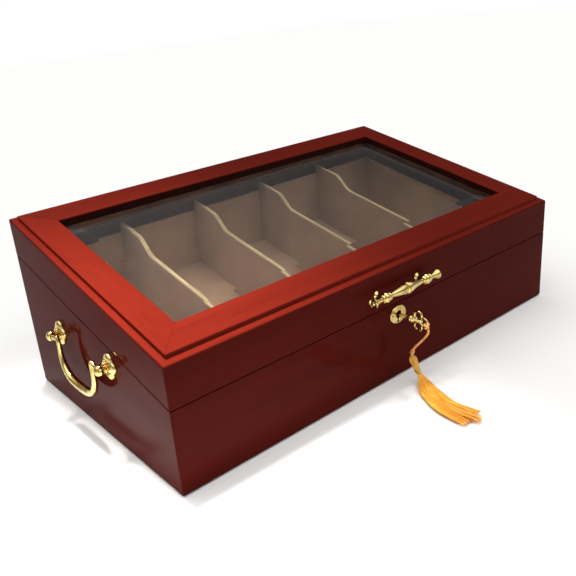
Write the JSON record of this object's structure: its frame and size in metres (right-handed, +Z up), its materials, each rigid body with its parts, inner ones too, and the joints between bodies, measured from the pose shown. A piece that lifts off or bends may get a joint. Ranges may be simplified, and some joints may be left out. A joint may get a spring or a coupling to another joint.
{
  "type": "multi glasses organizer",
  "caption": "Slant-top lacquered wooden box for spectacles, with a bevelled glass lid, suede compartments, brass bail handles, a pull, and a lock whose key carries a tassel.",
  "frame": {"origin": "middle of the base's underside, on the surface that it stands on", "axes": "+X along the box's length to the right, +Y from its front to its back, +Z up"},
  "size_m": [0.4204, 0.2959, 0.1426],
  "materials": {
    "cherry_lacquer": "cherry-stained wood under clear gloss lacquer",
    "cherry_frame": "brighter cherry stain under clear gloss lacquer",
    "dark_bead": "dark stained strip",
    "suede": "brown suede cloth",
    "divider_edge": "bare light edge of a thin board",
    "bare_board": "plain board",
    "felt": "dark felt",
    "glass": "clear glass with a wide polished bevel",
    "brass": "polished brass",
    "lock_steel": "plain steel",
    "silk_cord": "twisted silky cord",
    "silk_tassel": "silky threads"
  },
  "bodies": {
    "case": {"back_lining": "suede", "base_back": "cherry_lacquer", "base_felt": "felt", "base_front": "cherry_lacquer", "base_left": "cherry_lacquer", "base_right": "cherry_lacquer", "bottom_panel": "bare_board", "cord": "silk_cord", "divider_1": "suede", "divider_2": "suede", "divider_3": "suede", "divider_4": "suede", "floor_lining": "suede", "front_lining": "suede", "left_hinge_lower": "brass", "left_hinge_pin": "brass", "left_lining": "suede", "left_post_back": "brass", "left_post_front": "brass", "left_rosette_back": "brass", "left_rosette_front": "brass", "lock_case": "lock_steel", "lock_plate": "brass", "right_hinge_lower": "brass", "right_hinge_pin": "brass", "right_lining": "suede", "right_post_back": "brass", "right_post_front": "brass", "right_rosette_back": "brass", "right_rosette_front": "brass", "tassel_head": "silk_tassel", "tassel_skirt": "silk_tassel", "tray_floor": "bare_board"},
    "lid": {"frame_back": "cherry_frame", "frame_front": "cherry_frame", "frame_left": "cherry_frame", "frame_right": "cherry_frame", "glass": "glass", "glass_bead_back": "dark_bead", "glass_bead_front": "dark_bead", "glass_bead_left": "dark_bead", "glass_bead_right": "dark_bead", "left_hinge_upper": "brass", "lid_back": "cherry_lacquer", "lid_front": "cherry_lacquer", "lid_left": "cherry_lacquer", "lid_right": "cherry_lacquer", "pull": "brass", "pull_screw_left": "brass", "pull_screw_right": "brass", "right_hinge_upper": "brass", "strike_plate": "brass"},
    "key": {"key": "brass"},
    "lock_bolt": {"lock_bolt": "lock_steel"},
    "left_bail": {"left_bail": "brass"},
    "right_bail": {"right_bail": "brass"}
  },
  "joints": [
    {"name": "lid_hinge", "type": "hinge", "parent": "case", "child": "lid", "pos_m": [0, 0.1079, 0.1118], "axis": [-1, 0, 0], "range_deg": [0, 110]},
    {"name": "key_turn", "type": "hinge", "parent": "case", "child": "key", "pos_m": [0, -0.105, 0.0521], "axis": [0, 1, 0], "range_deg": [0, 90]},
    {"name": "bolt_slide", "type": "slide", "parent": "case", "child": "lock_bolt", "axis": [0, 0, 1], "range_m": [0, 0.005]},
    {"name": "left_bail_swing", "type": "hinge", "parent": "case", "child": "left_bail", "pos_m": [-0.2063, 0.0035, 0.06525], "axis": [0, 1, 0], "range_deg": [-6, 100]},
    {"name": "right_bail_swing", "type": "hinge", "parent": "case", "child": "right_bail", "pos_m": [0.2063, 0.0035, 0.06525], "axis": [0, -1, 0], "range_deg": [-6, 100]}
  ],
  "couplings": [
    {"joint": "key_turn", "follows": "bolt_slide", "rad_per_m": 314.16}
  ]
}
